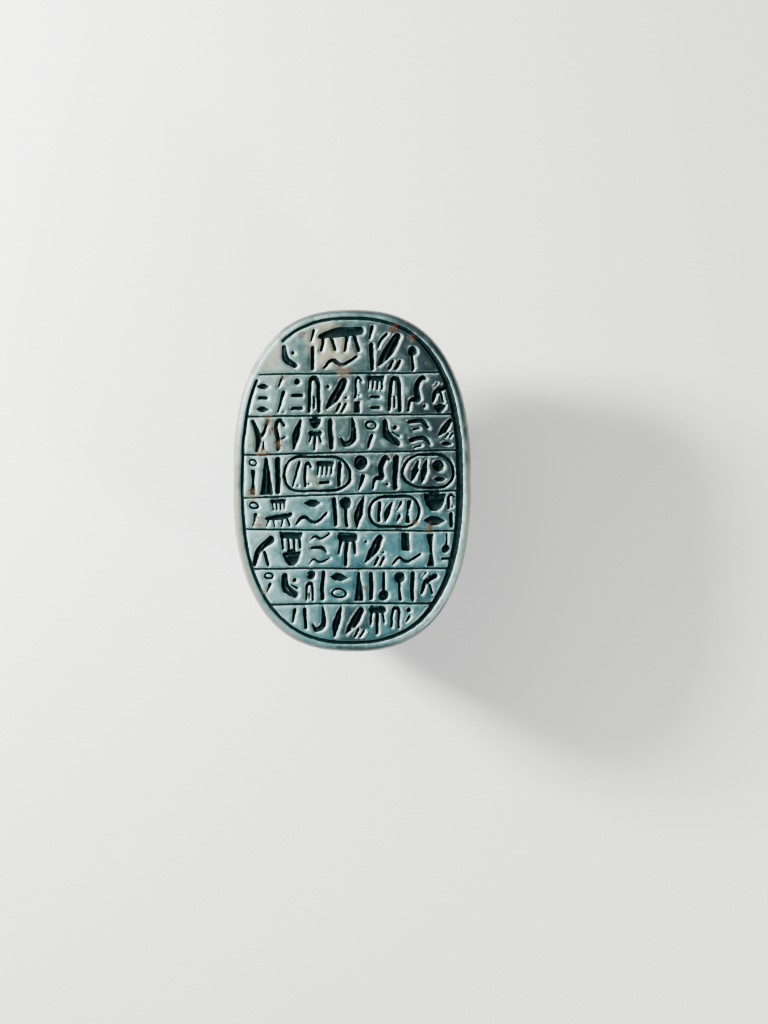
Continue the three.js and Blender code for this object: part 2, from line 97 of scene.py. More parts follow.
class GlazeColours(bpy.types.PropertyGroup):
    glaze_grey: colour_property("Grey glaze", "Glaze gone grey-green, over most of the face", "#273D3B")
    glaze_blue: colour_property("Blue glaze", "Glaze that has kept its blue, towards the tail", "#2A5458")
    # Along the rim's ends, away from the lamps, this dark colour is a painted shade.
    glaze_deep: colour_property("Deep glaze", "Thick dark teal glaze, on the right of the face", "#091C1E")
    cream: colour_property("Thin glaze", "Glaze so thin that the stone shows cream through it", "#7F806B")
    # This pale colour also paints light: highlights on lips facing the key light, a faint glow beside them, a
    # highlight along the rim, and a paler face towards the left.
    worn: colour_property("Worn glaze", "Pale glaze on rubbed edges and lips", "#A9DBD1")
    # On the rim's sides, where the lamps fall, this bare colour is partly painted light.
    bare: colour_property("Bare steatite", "Cream stone where the glaze is gone", "#605F50")
    # In the hollows of the back this dark colour is partly a painted shade in the creases.
    patina: colour_property("Patina", "Dark fill of the strokes and hollows", "#010D0F")
    crust: colour_property("Crust", "Light part of the earthy crust", "#5A4C38")
    rust: colour_property("Rust", "Dark part of the earthy crust", "#452A17")
    floor: colour_property("Floor", "Plain pale floor", "#F0EFEA")


# ---- the carving's own measures, in millimetres ---------------------------------------------

OVAL_POWER = 2.5
BORDER_INSET, BORDER_WIDTH, BORDER_SWELL = 2.2, 0.9, 0.9
BORDER_FROM, BORDER_TO = 147, 484
LINE_WIDTH = 0.6
LIP_DEPTH, LIP_WIDTH = 0.32, 0.95
ROLL_WIDTH, ROLL_DROP = 2.4, 1.0
ROW_MARGIN, END_MARGIN, STACK_GAP = 0.6, 1.3, 0.55
ROW_SPREAD, END_ROOM = 0.4, 0.75
FRAME_PAD, FRAME_LINE, FRAME_GAP = 1, 0.4, 0.7

# Heights of the seven ruled lines where they meet the border, left end and right end.
LINES = [
    (24.7, 25.2),
    (14.9, 15.5),
    (5.9, 7.1),
    (-4.1, -2.3),
    (-11.4, -11.8),
    (-20.6, -20.5),
    (-28.9, -28.6),
]

# Every mark has the height and width of the cell it is drawn for, then its strokes. A stroke
# is a row of (x, share of the height, half thickness), and a single point is a round dimple.
# A row of (x, share of the height) is the outline of a patch.
MARKS = {
    "bar": [8, 1.4, [(0.7, 0, 0.6), (0.7, 1, 0.7)]],
    "spindle": [8, 2.7, [(0.6, 0, 0.35), (1.1, 0.45, 1), (2.2, 1, 0.35)]],
    "spike": [8, 2.7, [(0, 0), (2.7, 0), (1.7, 1), (1.1, 1)]],
    "slant": [8, 2.8, [(0.5, 0, 0.4), (2.3, 1, 0.55)]],
    "leaner": [8, 5.4, [(0.4, 0.1, 0.3), (2.2, 0.42, 1.1), (4.1, 0.95, 0.85)],
        [(2.5, 0, 0.34), (3.4, 0.22, 0.4)], [(3.9, 0, 0.34), (4.8, 0.22, 0.4)]],
    "bough": [8, 5.2, [(0.6, 0, 0.45), (1.7, 0.5, 0.8), (4.3, 0.88, 1)],
        [(3, 0.42, 0.4), (3.8, 0, 0.36)]],
    "crouch": [8, 5, [(0.9, 0.95, 0.75), (1.4, 0.42, 1.1), (3.8, 0.12, 0.9)], [(3.5, 0.72, 0.62)]],
    "fork": [8, 5, [(1.9, 0, 0.5), (2.2, 0.45, 0.8), (0.8, 1, 0.5)], [(3.1, 0.5, 0.45), (4.5, 1, 0.5)]],
    "sickle": [8, 4.8, [(0.4, 0.34, 0.3), (1.7, 0.06, 0.7), (3.7, 0.3, 0.85), (3.6, 1, 0.35)]],
    "bench": [5, 9.4, [(0.6, 0.6, 0.5), (4.4, 0.9, 1), (8.6, 1, 0.8)],
        [(1.5, 0.7, 0.4), (0.9, 0, 0.35)], [(2.8, 0.7, 0.4), (3.6, 0, 0.35)],
        [(6.2, 0.7, 0.4), (5.6, 0, 0.35)], [(7.4, 0.7, 0.4), (8.4, 0, 0.35)]],
    "tray": [7, 4.6, [(1, 1, 0.95), (3.6, 1, 0.95)], [(1, 0.8, 0.4), (0.5, 0.4, 0.32)],
        [(3.6, 0.8, 0.4), (4.1, 0.4, 0.32)], [(2.3, 0.85, 0.5), (2.1, 0, 0.45)]],
    "step": [8, 4.6, [(0.4, 0, 0.32), (0.9, 0.3, 0.45), (2.6, 0.36, 0.75), (2.4, 0.68, 0.75),
             (3.4, 1, 0.6), (4.3, 0.92, 0.3)]],
    "hook": [8, 2.9, [(0.6, 0, 0.5), (0.6, 0.8, 0.58), (1.5, 1, 0.52), (2.5, 0.8, 0.36)]],
    "arch": [8, 2.9, [(0.4, 0, 0.42), (0.6, 0.88, 0.5), (1.45, 1, 0.5), (2.3, 0.88, 0.5), (2.5, 0, 0.42)]],
    "club": [8, 2, [(0.1, 0), (1.9, 0), (1.3, 0.5), (1.8, 1), (0.2, 1), (0.6, 0.5)]],
    "drop": [7, 2.6, [(1.3, 0, 1.25)], [(1.3, 0.25, 0.42), (1.3, 1, 0.42)]],
    "poppy": [7, 3, [(1.5, 1, 1.4)], [(1.5, 0.7, 0.42), (1.7, 0, 0.5)]],
    "leaves": [6, 4.7, [(0.5, 0, 0.3), (1.2, 0.5, 0.85), (2, 1, 0.3)],
        [(2.8, 0, 0.3), (3.5, 0.5, 0.85), (4.3, 1, 0.3)]],
    "rake": [3.8, 5, [(0, 1), (0.3, 0.65), (4.7, 0.65), (5, 1)], [(0.7, 0.75, 0.32), (0.7, 0, 0.3)],
        [(1.9, 0.75, 0.32), (1.9, 0, 0.3)], [(3.1, 0.75, 0.32), (3.1, 0, 0.3)],
        [(4.3, 0.75, 0.32), (4.3, 0, 0.3)]],
    "wave": [3.4, 7.2, [(0.4, 0.1, 0.3), (2, 0.7, 0.42), (4, 0.3, 0.42), (6.8, 1, 0.32)]],
    "beam": [3.4, 5.6, [(0.6, 0.7, 0.55), (3.6, 0.8, 0.62), (5.1, 0.2, 0.3)]],
    "dash": [2.5, 3.4, [(0.6, 0.5, 0.48), (2.8, 0.5, 0.52)]],
    "lens": [2.5, 3.8, [(0, 0.5), (1.3, 0.2), (2.5, 0.2), (3.8, 0.5), (2.5, 0.8), (1.3, 0.8)]],
    "pip": [3, 2, [(1, 0.5, 0.85)]],
    "disc": [3.8, 3.6, [(1.8, 0.5, 1.7)]],
    "bowl": [3, 4, [(0, 1), (0.6, 0.35), (1.5, 0), (2.5, 0), (3.4, 0.35), (4, 1)]],
    "block": [4, 2.2, [(0.1, 0), (2.1, 0), (2.1, 1), (0.1, 1)]],
    "comma": [4, 1.8, [(0.4, 0, 0.3), (1.2, 1, 0.55)]],
    "hoop": [3.2, 3.2],
}
HOOP_WIDTH, HOOP_HEIGHT, HOOP_LINE = 1.25, 0.9, 0.3

# Fine cuts beside the strokes of a mark, and ridges left standing in its broad strokes, both
# drawn in the cell of their mark. A mark with several sets of fine cuts takes them in turn.
FINE = {
    "leaner": [
        [[(0.5, 0.6, 0.22), (0.9, 0.8, 0.3), (2, 0.97, 0.3)]],
        [[(0.7, 0.78, 0.42)], [(4.7, 0.42, 0.36)]],
        [[(3.7, 0.5, 0.24), (4.9, 0.62, 0.34), (5.3, 0.9, 0.24)]],
        [],
    ],
    "bough": [[[(0.9, 0.75, 0.26), (2, 0.98, 0.34)]], []],
    "crouch": [[], [[(2.7, 0.55, 0.22), (4.4, 0.4, 0.3)]]],
    "fork": [[[(3.5, 0.06, 0.3), (3.4, 0.3, 0.24)]]],
    "sickle": [[[(1.2, 0.62, 0.24), (2.3, 0.75, 0.34)]], []],
    "arch": [[[(1.45, 0.1, 0.25), (1.45, 0.42, 0.3)]], []],
    "hook": [[[(1.8, 0.1, 0.4)]], [[(1.5, 0.36, 0.26), (2.5, 0.44, 0.3)]]],
    "slant": [[[(2.2, 0.02, 0.36)]]],
    "bowl": [[[(1.3, 1.25, 0.3), (1.9, 1.3, 0.36), (2.6, 1.25, 0.3)]]],
    "step": [[[(3.9, 0.16, 0.42)]]],
    "beam": [[[(1.4, 0.05, 0.22), (3, 0.12, 0.28)]], []],
}
RIDGES = {
    "leaner": [[(1.6, 0.22, 0.1), (2.5, 0.5, 0.13), (3.9, 0.86, 0.1)]],
    "bough": [[(1.6, 0.36, 0.1), (2.6, 0.66, 0.12), (4.2, 0.86, 0.1)]],
    "crouch": [[(1.2, 0.8, 0.1), (1.7, 0.42, 0.13), (3.6, 0.14, 0.1)]],
    "sickle": [[(1.9, 0.1, 0.1), (3.3, 0.25, 0.12), (3.7, 0.7, 0.1)]],
    "bench": [[(2.2, 0.86, 0.1), (5, 0.95, 0.12), (7.8, 0.95, 0.1)]],
    "spike": [[(1.35, 0.06, 0.14), (1.4, 0.78, 0.1)]],
    "tray": [[(0.8, 0.95, 0.1), (3.8, 0.95, 0.1)]],
    "disc": [[(0.9, 0.5, 0.12), (1.8, 0.78, 0.12), (2.7, 0.5, 0.12)]],
    "poppy": [[(0.9, 0.92, 0.1), (1.5, 1.02, 0.12), (2.1, 0.92, 0.1)]],
    "drop": [[(0.8, 0.06, 0.1), (1.3, 0.14, 0.12), (1.8, 0.06, 0.1)]],
    "bowl": [[(0.8, 0.72, 0.1), (3.2, 0.72, 0.1)]],
    "club": [[(0.6, 0.4, 0.1), (1.4, 0.4, 0.1)], [(0.6, 0.62, 0.1), (1.4, 0.62, 0.1)]],
    "leaves": [[(1, 0.3, 0.08), (1.5, 0.7, 0.08)], [(3.3, 0.3, 0.08), (3.8, 0.7, 0.08)]],
    "block": [[(0.6, 0.2, 0.1), (0.6, 0.8, 0.1)]],
    "spindle": [[(0.9, 0.25, 0.1), (1.4, 0.7, 0.1)]],
}
STRETCH = (0.75, 1.3)

# Columns from left to right. "a/b" is a above b, and a list in a row is ringed by a long loop.
ROWS = [
    ["crouch", "comma/bar", "bench/wave", "comma/bar", "leaner", "poppy"],
    ["lens/dash/lens", "comma/slant", "pip/dash/dash", "arch", "leaner", "hook/block",
     "rake/dash/dash", "arch", "step", "bough/bowl"],
    ["fork", "hook", "spindle", "bowl/tray", "bar", "sickle", "hoop/comma", "crouch",
     "beam/beam", "leaner/lens"],
    ["hoop/club", "spike", "bar", ["slant", "hook", "rake/dash", "bar"], "disc/comma", "step", "bar",
     ["leaves", "disc/lens"]],
    ["hoop/comma", "rake/bench", "lens/wave", "bar", "poppy", "spindle",
     ["bar", "spindle", "comma/comma", "club"], "bowl/lens", "hook/bar"],
    ["bough", "rake/bowl", "wave/beam/wave", "tray", "leaner", "block/wave", "club", "drop/dash"],
    ["hoop/comma", "crouch", "disc/arch", "bar", "lens/hoop", "spike", "bar", "drop", "poppy",
     "bar", "bough"],
    ["comma", "bar", "sickle", "spindle", "leaner", "tray", "arch", "pip/comma"],
]

# The beetle is worked out back up over the plinth, and turned over at the end.
WING = dict(y=-11, half_width=25.2, half_length=26.3, foot=12.4, top=32.5, drop=5, plan=2.35, side=2.3,
            lean=0.24)
THORAX = dict(y=12.8, half_width=23.6, half_length=13.2, foot=12.6, top=29.2, drop=5, plan=2.7, side=2.3,
              lean=-0.16)
BELLY = dict(half_width=23, half_length=36, top=14)
HEAD_OUTLINE = [(0, 20), (12.6, 20), (12.8, 27), (11.4, 31), (9.2, 32.4), (8.9, 34.6), (7.2, 36.2),
                (6.1, 35), (4.4, 37.2), (2.4, 37.5), (1.2, 36), (0, 36)]
HEAD_TOP, HEAD_TIP, HEAD_CROWN = 17, 8.6, 0.014
LEGS = [
    (2.6, 1.4, [(14, 19, 10), (20.8, 20.6, 10.4), (21, 24.8, 9.2), (18.2, 29.6, 7.9), (13, 34.2, 6.8)]),
    (2.6, 1.3, [(18, 9, 11), (23.8, 5.5, 10.2), (25, -0.5, 8.6), (24.9, -6.5, 7.3), (24, -12, 6.5)]),
    (2.8, 1.4, [(18, -6, 11), (23.8, -12, 10), (23.3, -19, 8.6), (19.6, -27.5, 7.4), (12.5, -35.2, 6.6)]),
]
CHIP_ANGLE, CHIP_DEPTH, CHIP_TILT = 50, 0.9, 15

# Earthy crust on the inscribed face: x, y, radius, and how rusty it is.
CRUST = [
    (-2.0, 25.5, 2.0, 0.25), (9.9, 35.7, 1.8, 0.9), (13.9, 33.4, 1.2, 0.6), (-11.8, 34.0, 1.0, 0.7),
    (-19.8, 13.9, 1.6, 0.6), (-18.6, 11.4, 1.7, 0.65), (-17.4, 8.6, 1.8, 0.55), (-20.9, 6.3, 1.7, 0.8),
    (-16, 24, 0.9, 0.5), (-23.7, -3.0, 1.7, 0.4), (-21.7, -9.8, 1.6, 0.3), (9.1, 6.0, 0.9, 0.6),
    (18.1, -10.7, 1.4, 0.55), (3.0, -25.0, 1.1, 0.6), (-5.3, 7.1, 0.7, 0.6), (14.4, -9.6, 0.9, 0.4),
    (-20.3, -25.7, 1.1, 0.2),
]

# Clouds in the glaze of the face: x, y, radius, and strength. Pale where it is thin, deep where thick.
PALE = [
    (-6, 31, 7, 1.0), (-18, 24, 6, 0.35), (-22, 9, 5, 0.5), (-21, -3, 5, 0.35), (-20, -12, 5, 0.4),
    (-3, 17, 5, 0.4), (-9, 0, 4, 0.4), (0, -9, 5, 0.4), (-9, -16, 5, 0.35),
]
DEEP = [
    (18, 29, 7, 0.9), (19, 17, 8, 1.0), (18, 4, 9, 0.85), (20, -5, 5, 0.5), (8, 27, 5, 0.5), (2, 3, 6, 0.4),
    (0, -33, 6, 0.6), (16, -29, 5, 0.4), (14, 36, 6, 0.9), (24, 24, 6, 0.8), (0, -40, 6, 0.7),
]

# The side the key light falls from, the upper left: lips that face it get a painted highlight.
LIGHT_FROM = np.array([0.9, -0.44])

# Depth under the inscribed face at which the back begins.
BACK_BELOW = 1.6

# The worn upper left of the face, beside the chip: its middle, and how far it reaches.
WORN_SPOT, WORN_REACH = (-19.5, 30.5), 6.5


# ---- number fields over arrays of points ----------------------------------------------------

def lerp(a, b, t):
    return a + (b - a) * t


def smooth(edge0, edge1, x):
    t = np.clip((x - edge0) / (edge1 - edge0), 0, 1)
    return t * t * (3 - 2 * t)


def value_noise(points, cell, seed):
    """Smooth noise from -1 to 1 with lumps about `cell` wide, at an array of points."""
    lattice = np.random.RandomState(seed).uniform(-1, 1, (32, 32, 32))
    at = points / cell
    low = np.floor(at).astype(int)
    t = at - low
    t = t * t * (3 - 2 * t)
    total = 0
    for corner in np.ndindex(*(2,) * points.shape[1]):
        index = tuple(((low[:, k] + corner[k]) % 32) for k in range(points.shape[1]))
        weight = np.prod([t[:, k] if corner[k] else 1 - t[:, k] for k in range(points.shape[1])], axis=0)
        total = total + weight * lattice[index + (0,) * (3 - points.shape[1])]
    return total


def to_segments(points, path, thickness):
    """Distance from each point to a path that is `thickness` thick to either side of its line."""
    best = np.full(len(points), 1e9)
    for (a, b), (ra, rb) in zip(zip(path, path[1:]), zip(thickness, thickness[1:])):
        along = b - a
        t = np.clip((points - a) @ along / max(along @ along, 1e-12), 0, 1)
        gap = np.linalg.norm(points - a - t[:, None] * along, axis=1) - lerp(ra, rb, t)
        best = np.minimum(best, gap)
    return best


def to_patch(points, outline):
    """Distance from each point to a filled outline, below zero inside it."""
    closed = np.vstack([outline, outline[:1]])
    gap = to_segments(points, closed, np.zeros(len(closed)))
    inside = np.zeros(len(points), bool)
    for (ax, ay), (bx, by) in zip(closed, closed[1:]):
        spans = (ay > points[:, 1]) != (by > points[:, 1])
        cross = (bx - ax) * (points[:, 1] - ay) / (by - ay if by != ay else 1e-12) + ax
        inside ^= spans & (points[:, 0] < cross)
    return np.where(inside, -gap, gap)


def curved(points, closed=False, steps=5):
    """A smooth line through the points of a stroke or a leg."""
    points = np.asarray(points, float)
    if len(points) < 3:
        return points
    last = len(points) - 1
    made = []
    for i in range(last + (1 if closed else 0)):
        at = [points[(i + k) % len(points)] if closed else points[min(max(i + k, 0), last)]
              for k in (-1, 0, 1, 2)]
        for t in np.arange(steps) / steps:
            made.append(0.5 * (2 * at[1] + (at[2] - at[0]) * t
                               + (2 * at[0] - 5 * at[1] + 4 * at[2] - at[3]) * t ** 2
                               + (3 * at[1] - at[0] - 3 * at[2] + at[3]) * t ** 3))
    made.append(made[0] if closed else points[-1])
    return np.array(made)


# ---- the oval -------------------------------------------------------------------------------

def signed_power(value, power):
    return math.copysign(abs(value) ** power, value)


def oval_point(sizes, angle, inset=0.0):
    return np.array([
        (sizes.width / MM / 2 - inset) * signed_power(math.cos(angle), 2 / OVAL_POWER),
        (sizes.length / MM / 2 - inset) * signed_power(math.sin(angle), 2 / OVAL_POWER),
    ])


def reach(at, along, across, inset):
    """Half an oval's extent across the line through `at`, for an oval cut in by `inset`."""
    share = min(1.0, abs(at) / (along / 2 - inset))
    return (across / 2 - inset) * (1 - share ** OVAL_POWER) ** (1 / OVAL_POWER)


# ---- the strokes ----------------------------------------------------------------------------

def moved(stroke, dx, dy):
    kind, points = stroke
    return kind, points + np.array([dx, dy, 0])


def ellipse_arc(x, y, rx, ry, start, end, thickness, steps):
    angles = np.linspace(start, end, steps + 1)
    return np.column_stack([x + rx * np.cos(angles), y + ry * np.sin(angles), np.full(steps + 1, thickness)])


def mark(name, height, turn=0):
    """A mark fitted to a cell: stretched sideways in the same measure as its height."""
    nominal, width, *drawn = MARKS[name]
    stretch = min(max(height / nominal, STRETCH[0]), STRETCH[1])

    def fitted(points):
        made = []
        for x, share, *thickness in points:
            half = min((thickness or [0])[0] * stretch, height / 2)
            made.append((x * stretch, lerp(half, height - half, share), half))
        return np.array(made)

    strokes = []
    for points in drawn:
        kind = "dimple" if len(points) == 1 else "bar" if len(points[0]) == 3 else "patch"
        strokes.append((kind, fitted(points)))
    if name == "hoop":
        tall = min(HOOP_HEIGHT * stretch, height / 2 - HOOP_LINE)
        strokes.append(("ring", ellipse_arc(width * stretch / 2, height / 2, HOOP_WIDTH * stretch, tall,
                                            0, 1.8 * math.pi, HOOP_LINE, 9)))
    sets = FINE.get(name, [[]])
    for points in sets[turn % len(sets)]:
        strokes.append(("dimple" if len(points) == 1 else "bar", fitted(points)))
    strokes += [("ridge", fitted(points)) for points in RIDGES.get(name, [])]
    return width * stretch, strokes


def column(names, height, turn=0):
    """One column: its marks share out the height, and each is centred on the widest."""
    parts = names.split("/")
    free = height - STACK_GAP * (len(parts) - 1)
    heights = [free * MARKS[name][0] / sum(MARKS[other][0] for other in parts) for name in parts]
    made = [mark(name, each, turn) for name, each in zip(parts, heights)]
    width = max(each for each, _ in made)
    strokes, top = [], height
    for (each, own), tall in zip(made, heights):
        strokes += [moved(stroke, (width - each) / 2, top - tall) for stroke in own]
        top -= tall + STACK_GAP
    return width, strokes


def framed(columns, height):
    """A long loop round several columns, with straight sides and round ends."""
    pad = FRAME_PAD + FRAME_LINE
    strokes, x = [], pad + 0.9
    for names in columns:
        width, own = column(names, height - 2 * pad)
        strokes += [moved(stroke, x, pad) for stroke in own]
        x += width + FRAME_GAP
    width = x - FRAME_GAP + pad + 0.9
    radius, inset = height / 2 - FRAME_LINE, height / 2
    right = ellipse_arc(width - inset, inset, radius, radius, -math.pi / 2, math.pi / 2, FRAME_LINE, 12)
    left = ellipse_arc(inset, inset, radius, radius, math.pi / 2, 1.5 * math.pi, FRAME_LINE, 12)
    return width, [("loop", np.vstack([right, left, right[:1]]))] + strokes


def cell(entry, height, turn=0):
    return framed(entry, height) if isinstance(entry, list) else column(entry, height, turn)


def row_strokes(sizes, row):
    """The strokes of one row, spread evenly between the border's two sides."""
    width, length = sizes.width / MM, sizes.length / MM
    inset = BORDER_INSET + BORDER_WIDTH / 2 + ROW_MARGIN

    def line_height(i, x):
        if i < 0:
            return length / 2
        if i >= len(LINES):
            return -length / 2
        return lerp(*LINES[i], x / width + 0.5)

    def span(start, end):
        ends = sorted([abs(start), abs(end)])
        limit = reach(lerp(*ends, END_ROOM), width, length, inset)
        middle = (start + end) / 2
        return (max(line_height(row, middle) + ROW_MARGIN, -limit),
                min(line_height(row - 1, middle) - ROW_MARGIN, limit))

    bottom, top = span(0, 0)
    near, far = (bottom, top) if abs(top) > abs(bottom) else (top, bottom)
    half = reach(lerp(near, far, ROW_SPREAD), length, width, BORDER_INSET + END_MARGIN)
    widths = [cell(entry, top - bottom)[0] for entry in ROWS[row]]
    gap = (2 * half - sum(widths)) / (len(widths) - 1)
    strokes, x = [], -half
    for turn, (entry, wide) in enumerate(zip(ROWS[row], widths)):
        low, high = span(x, x + wide)
        strokes += [moved(stroke, x, low) for stroke in cell(entry, high - low, row + turn)[1]]
        x += wide + gap
    return strokes


def border_stroke(sizes):
    """The groove round the face. It has worn away beside the chip, and is wider on the right."""
    points = []
    for angle in np.radians(np.linspace(BORDER_FROM, BORDER_TO, 200)):
        swell = BORDER_SWELL * max(0.0, math.cos(angle)) ** 2
        x, y = oval_point(sizes, angle, BORDER_INSET + swell / 2)
        points.append((x, y, (BORDER_WIDTH + swell) / 2))
    return "loop", np.array(points)


def line_strokes(sizes):
    width, length = sizes.width / MM, sizes.length / MM
    made = []
    for left, right in LINES:
        start = -reach(left, length, width, BORDER_INSET)
        end = reach(right, length, width, BORDER_INSET)
        made.append(("bar", np.array([(start, left, LINE_WIDTH / 2), (end, right, LINE_WIDTH / 2)])))
    return made


def cut_distance(points, strokes):
    """Distance in mm from each point of the face to the nearest stroke, below zero inside it.
    A ridge in a stroke brings the distance back to almost nothing."""
    best = np.full(len(points), 9.0)
    for kind, path in sorted(strokes, key=lambda stroke: stroke[0] == "ridge"):
        margin = path[:, 2].max() + 1.5
        low, high = path[:, :2].min(0) - margin, path[:, :2].max(0) + margin
        near = np.flatnonzero(np.all((points > low) & (points < high), axis=1))
        if not len(near):
            continue
        if kind == "patch":
            gap = to_patch(points[near], path[:, :2]) - 0.06
        elif kind == "dimple":
            gap = np.linalg.norm(points[near] - path[0, :2], axis=1) - path[0, 2]
        else:
            line = path if kind == "loop" else curved(path, kind == "ring")
            gap = to_segments(points[near], line[:, :2], line[:, 2])
        if kind == "ridge":
            best[near] = np.maximum(best[near], np.minimum(-0.08 - gap, np.maximum(best[near], -0.02)))
        else:
            best[near] = np.minimum(best[near], gap)
    return best


# ---- rough shapes, made with bmesh ----------------------------------------------------------

def linked(name, data):
    """A new object with this data, linked to the scene."""
    made = bpy.data.objects.new(name, data)
    bpy.context.scene.collection.objects.link(made)
    return made


def applied(piece):
    """A piece's mesh with its modifiers applied. The piece itself is deleted."""
    made = bpy.data.meshes.new_from_object(piece.evaluated_get(bpy.context.evaluated_depsgraph_get()))
    bpy.data.objects.remove(piece)
    return made


def extruded(bm, faces):
    """The points of the far end, where faces are drawn out into a solid."""
    raised = bmesh.ops.extrude_face_region(bm, geom=faces)["geom"]
    return [g for g in raised if isinstance(g, bmesh.types.BMVert)]


def oval_plinth(bm, sizes):
    """The oval slab, with rounded rims and the chip off its upper left."""
    around = 240
    made = bmesh.ops.create_circle(bm, cap_ends=True, radius=1, segments=around)
    verts = made["verts"]
    for i, vert in enumerate(verts):
        vert.co = Vector((*oval_point(sizes, 2 * math.pi * i / around), 0))
    top = extruded(bm, [verts[0].link_faces[0]])
    bmesh.ops.translate(bm, verts=top, vec=(0, 0, sizes.plinth / MM))
    verts = list(verts) + top
    bmesh.ops.recalc_face_normals(bm, faces=list({f for v in verts for f in v.link_faces}))
    rims = {e for v in verts for e in v.link_edges if abs(e.verts[0].co.z - e.verts[1].co.z) < 1e-6}
    bmesh.ops.bevel(bm, geom=list(rims), offset=sizes.edge_round / MM, affect="EDGES", segments=5,
                    profile=0.5, material=-1)
    angle = math.radians(CHIP_ANGLE)
    at = oval_point(sizes, angle)
    outward = Vector((math.cos(angle) ** (2 - 2 / OVAL_POWER) / sizes.width,
                      math.sin(angle) ** (2 - 2 / OVAL_POWER) / sizes.length, 0)).normalized()
    tilt = math.radians(CHIP_TILT)
    normal = outward * math.cos(tilt) - Vector((0, 0, math.sin(tilt)))
    spot = Vector((*at, 0)) - outward * CHIP_DEPTH
    cut = bmesh.ops.bisect_plane(bm, geom=bm.verts[:] + bm.edges[:] + bm.faces[:], plane_co=spot,
                                 plane_no=normal, clear_outer=True)
    edges = [g for g in cut["geom_cut"] if isinstance(g, bmesh.types.BMEdge)]
    bmesh.ops.holes_fill(bm, edges=edges, sides=0)


def dome(bm, shape):
    """A sphere pulled out to a squarish oval in plan and in section."""
    made = bmesh.ops.create_uvsphere(bm, u_segments=128, v_segments=96, radius=1)
    for vert in made["verts"]:
        turn, rise = math.atan2(vert.co.y, vert.co.x), math.asin(max(-1.0, min(1.0, vert.co.z)))
        spread = math.cos(rise) ** (2 / shape["side"])
        lift = signed_power(math.sin(rise), 2 / shape["side"])
        x = shape["half_width"] * spread * signed_power(math.cos(turn), 2 / shape["plan"])
        y = shape["half_length"] * spread * signed_power(math.sin(turn), 2 / shape["plan"])
        height = shape["top"] - shape["foot"] + shape["lean"] * y if lift > 0 else shape["drop"]
        vert.co = Vector((x, shape["y"] + y, shape["foot"] + height * lift))


def dome_point(shape, x, y):
    """A point on the skin of that dome."""
    along = y - shape["y"]
    out = (abs(x / shape["half_width"]) ** shape["plan"] + abs(along / shape["half_length"]) ** shape["plan"])
    lift = max(0.0, 1 - out ** (shape["side"] / shape["plan"])) ** (1 / shape["side"])
    return x, y, shape["foot"] + (shape["top"] - shape["foot"] + shape["lean"] * along) * lift


def belly(bm, sizes):
    """The core between the plinth and the back, which the legs stand out from."""
    around = 96
    made = bmesh.ops.create_circle(bm, cap_ends=True, radius=1, segments=around)
    for i, vert in enumerate(made["verts"]):
        x, y = oval_point(sizes, 2 * math.pi * i / around)
        vert.co = Vector((x * BELLY["half_width"] * 2 * MM / sizes.width,
                          y * BELLY["half_length"] * 2 * MM / sizes.length - 0.5, sizes.plinth / MM / 2))
    top = extruded(bm, [made["verts"][0].link_faces[0]])
    bmesh.ops.translate(bm, verts=top, vec=(0, 0, BELLY["top"] - sizes.plinth / MM / 2))


def head(bm, sizes):
    """The flat head with its toothed front plate, sloping down to the teeth."""
    outline = HEAD_OUTLINE + [(-x, y) for x, y in HEAD_OUTLINE[-2:0:-1]]
    foot = sizes.plinth / MM - 1
    verts = [bm.verts.new((x, y, foot)) for x, y in outline]
    face = bm.faces.new(verts)
    flat = bmesh.ops.triangulate(bm, faces=[face])["faces"]
    edges = list({e for f in flat for e in f.edges})
    fine = bmesh.ops.subdivide_edges(bm, edges=edges, cuts=7, use_grid_fill=True)["geom"]
    plate = list({f for v in fine if isinstance(v, bmesh.types.BMVert) for f in v.link_faces})
    for vert in extruded(bm, plate):
        slope = (vert.co.y - HEAD_OUTLINE[1][1]) / (HEAD_OUTLINE[-3][1] - HEAD_OUTLINE[1][1])
        vert.co.z = lerp(HEAD_TOP, HEAD_TIP, slope) - HEAD_CROWN * vert.co.x ** 2
    for side in (-1, 1):
        eye = Matrix.Translation((11.4 * side, 26.6, 12.8)) @ Matrix.Diagonal((2.3, 3.1, 2.6, 1))
        bmesh.ops.create_uvsphere(bm, u_segments=32, v_segments=24, radius=1, matrix=eye)


def limb(bm, path, thigh, toe, side):
    """A leg: a ring drawn along its path, growing thinner to the toe."""
    line = [Vector((p[0] * side, p[1], p[2])) for p in curved(path, steps=5)]
    around = 16
    face = None
    for i, at in enumerate(line):
        along = (line[min(i + 1, len(line) - 1)] - line[max(i - 1, 0)]).normalized()
        turn = Vector((0, 0, 1)).rotation_difference(along).to_matrix().to_4x4()
        place = Matrix.Translation(at) @ turn @ Matrix.Scale(lerp(thigh, toe, i / (len(line) - 1)), 4)
        if face is None:
            ring = bmesh.ops.create_circle(bm, cap_ends=True, radius=1, segments=around)["verts"]
            face = ring[0].link_faces[0]
        else:
            raised = bmesh.ops.extrude_face_region(bm, geom=[face])["geom"]
            face = next(g for g in raised if isinstance(g, bmesh.types.BMFace))
            ring = list(face.verts)
        for k, vert in enumerate(ring):
            turn_k = 2 * math.pi * k / around
            vert.co = place @ Vector((math.cos(turn_k), math.sin(turn_k), 0))


def shin_teeth(bm):
    for side in (-1, 1):
        for i in range(3):
            place = Matrix.Translation(((21 - 2.45 * i) * side, 26.9 + 2.6 * i, 8.4 - 0.6 * i))
            turn = Matrix.Rotation(side * (0.6 - math.pi / 2), 4, "Z") @ Matrix.Rotation(-math.pi / 2, 4, "X")
            bmesh.ops.create_cone(bm, cap_ends=True, segments=16, radius1=1, radius2=0.1, depth=3,
                                  matrix=place @ turn)


